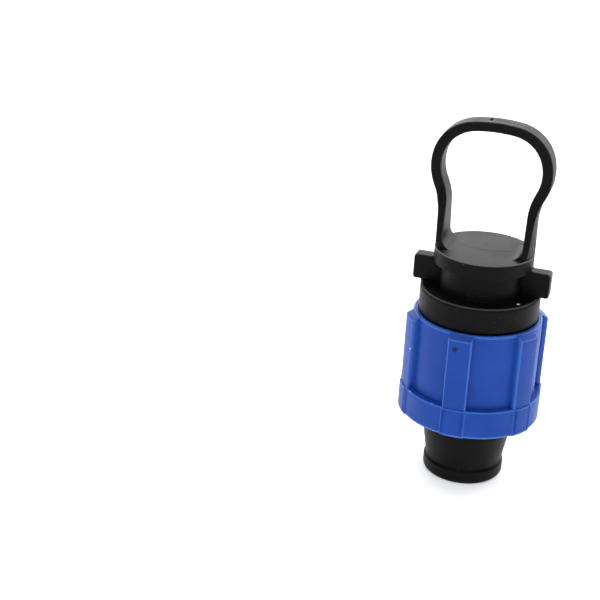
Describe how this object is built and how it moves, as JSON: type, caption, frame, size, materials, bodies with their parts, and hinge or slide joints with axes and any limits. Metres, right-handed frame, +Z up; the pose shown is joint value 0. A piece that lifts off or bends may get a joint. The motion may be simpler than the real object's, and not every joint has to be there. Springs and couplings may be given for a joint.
{
  "type": "drip tape end plug",
  "caption": "Lock-nut end plug for drip tape: a hollow barb and cone, a screwed nut that clamps the tape, a closed end disc and a pull ring.",
  "frame": {"origin": "middle of the barb's end face, where the plug stands", "axes": "+Z up along the fitting's axis from the barb to the pull ring; the ring, the ears and the mould's parting line lie in the XZ plane"},
  "size_m": [0.029, 0.0296, 0.0761],
  "materials": {
    "black_plastic": "satin moulded polypropylene",
    "blue_plastic": "satin moulded polypropylene, slightly translucent"
  },
  "bodies": {
    "root": {"barb": "black_plastic", "threaded_shank": "black_plastic", "collar": "black_plastic", "neck": "black_plastic", "end_disc": "black_plastic", "pull_ring": "black_plastic"},
    "nut_slide": {"clamp_lip": "blue_plastic"},
    "nut": {"lock_nut": "blue_plastic"}
  },
  "joints": [
    {"name": "nut_travel", "type": "slide", "parent": "root", "child": "nut_slide", "axis": [0, 0, -1], "range_m": [0, 0.01]},
    {"name": "nut_turn", "type": "hinge", "parent": "nut_slide", "child": "nut", "pos_m": [0, 0, 0.025], "axis": [0, 0, -1], "range_deg": [0, 720]}
  ],
  "couplings": [
    {"joint": "nut_travel", "follows": "nut_turn", "m_per_rad": 0.00079577}
  ]
}
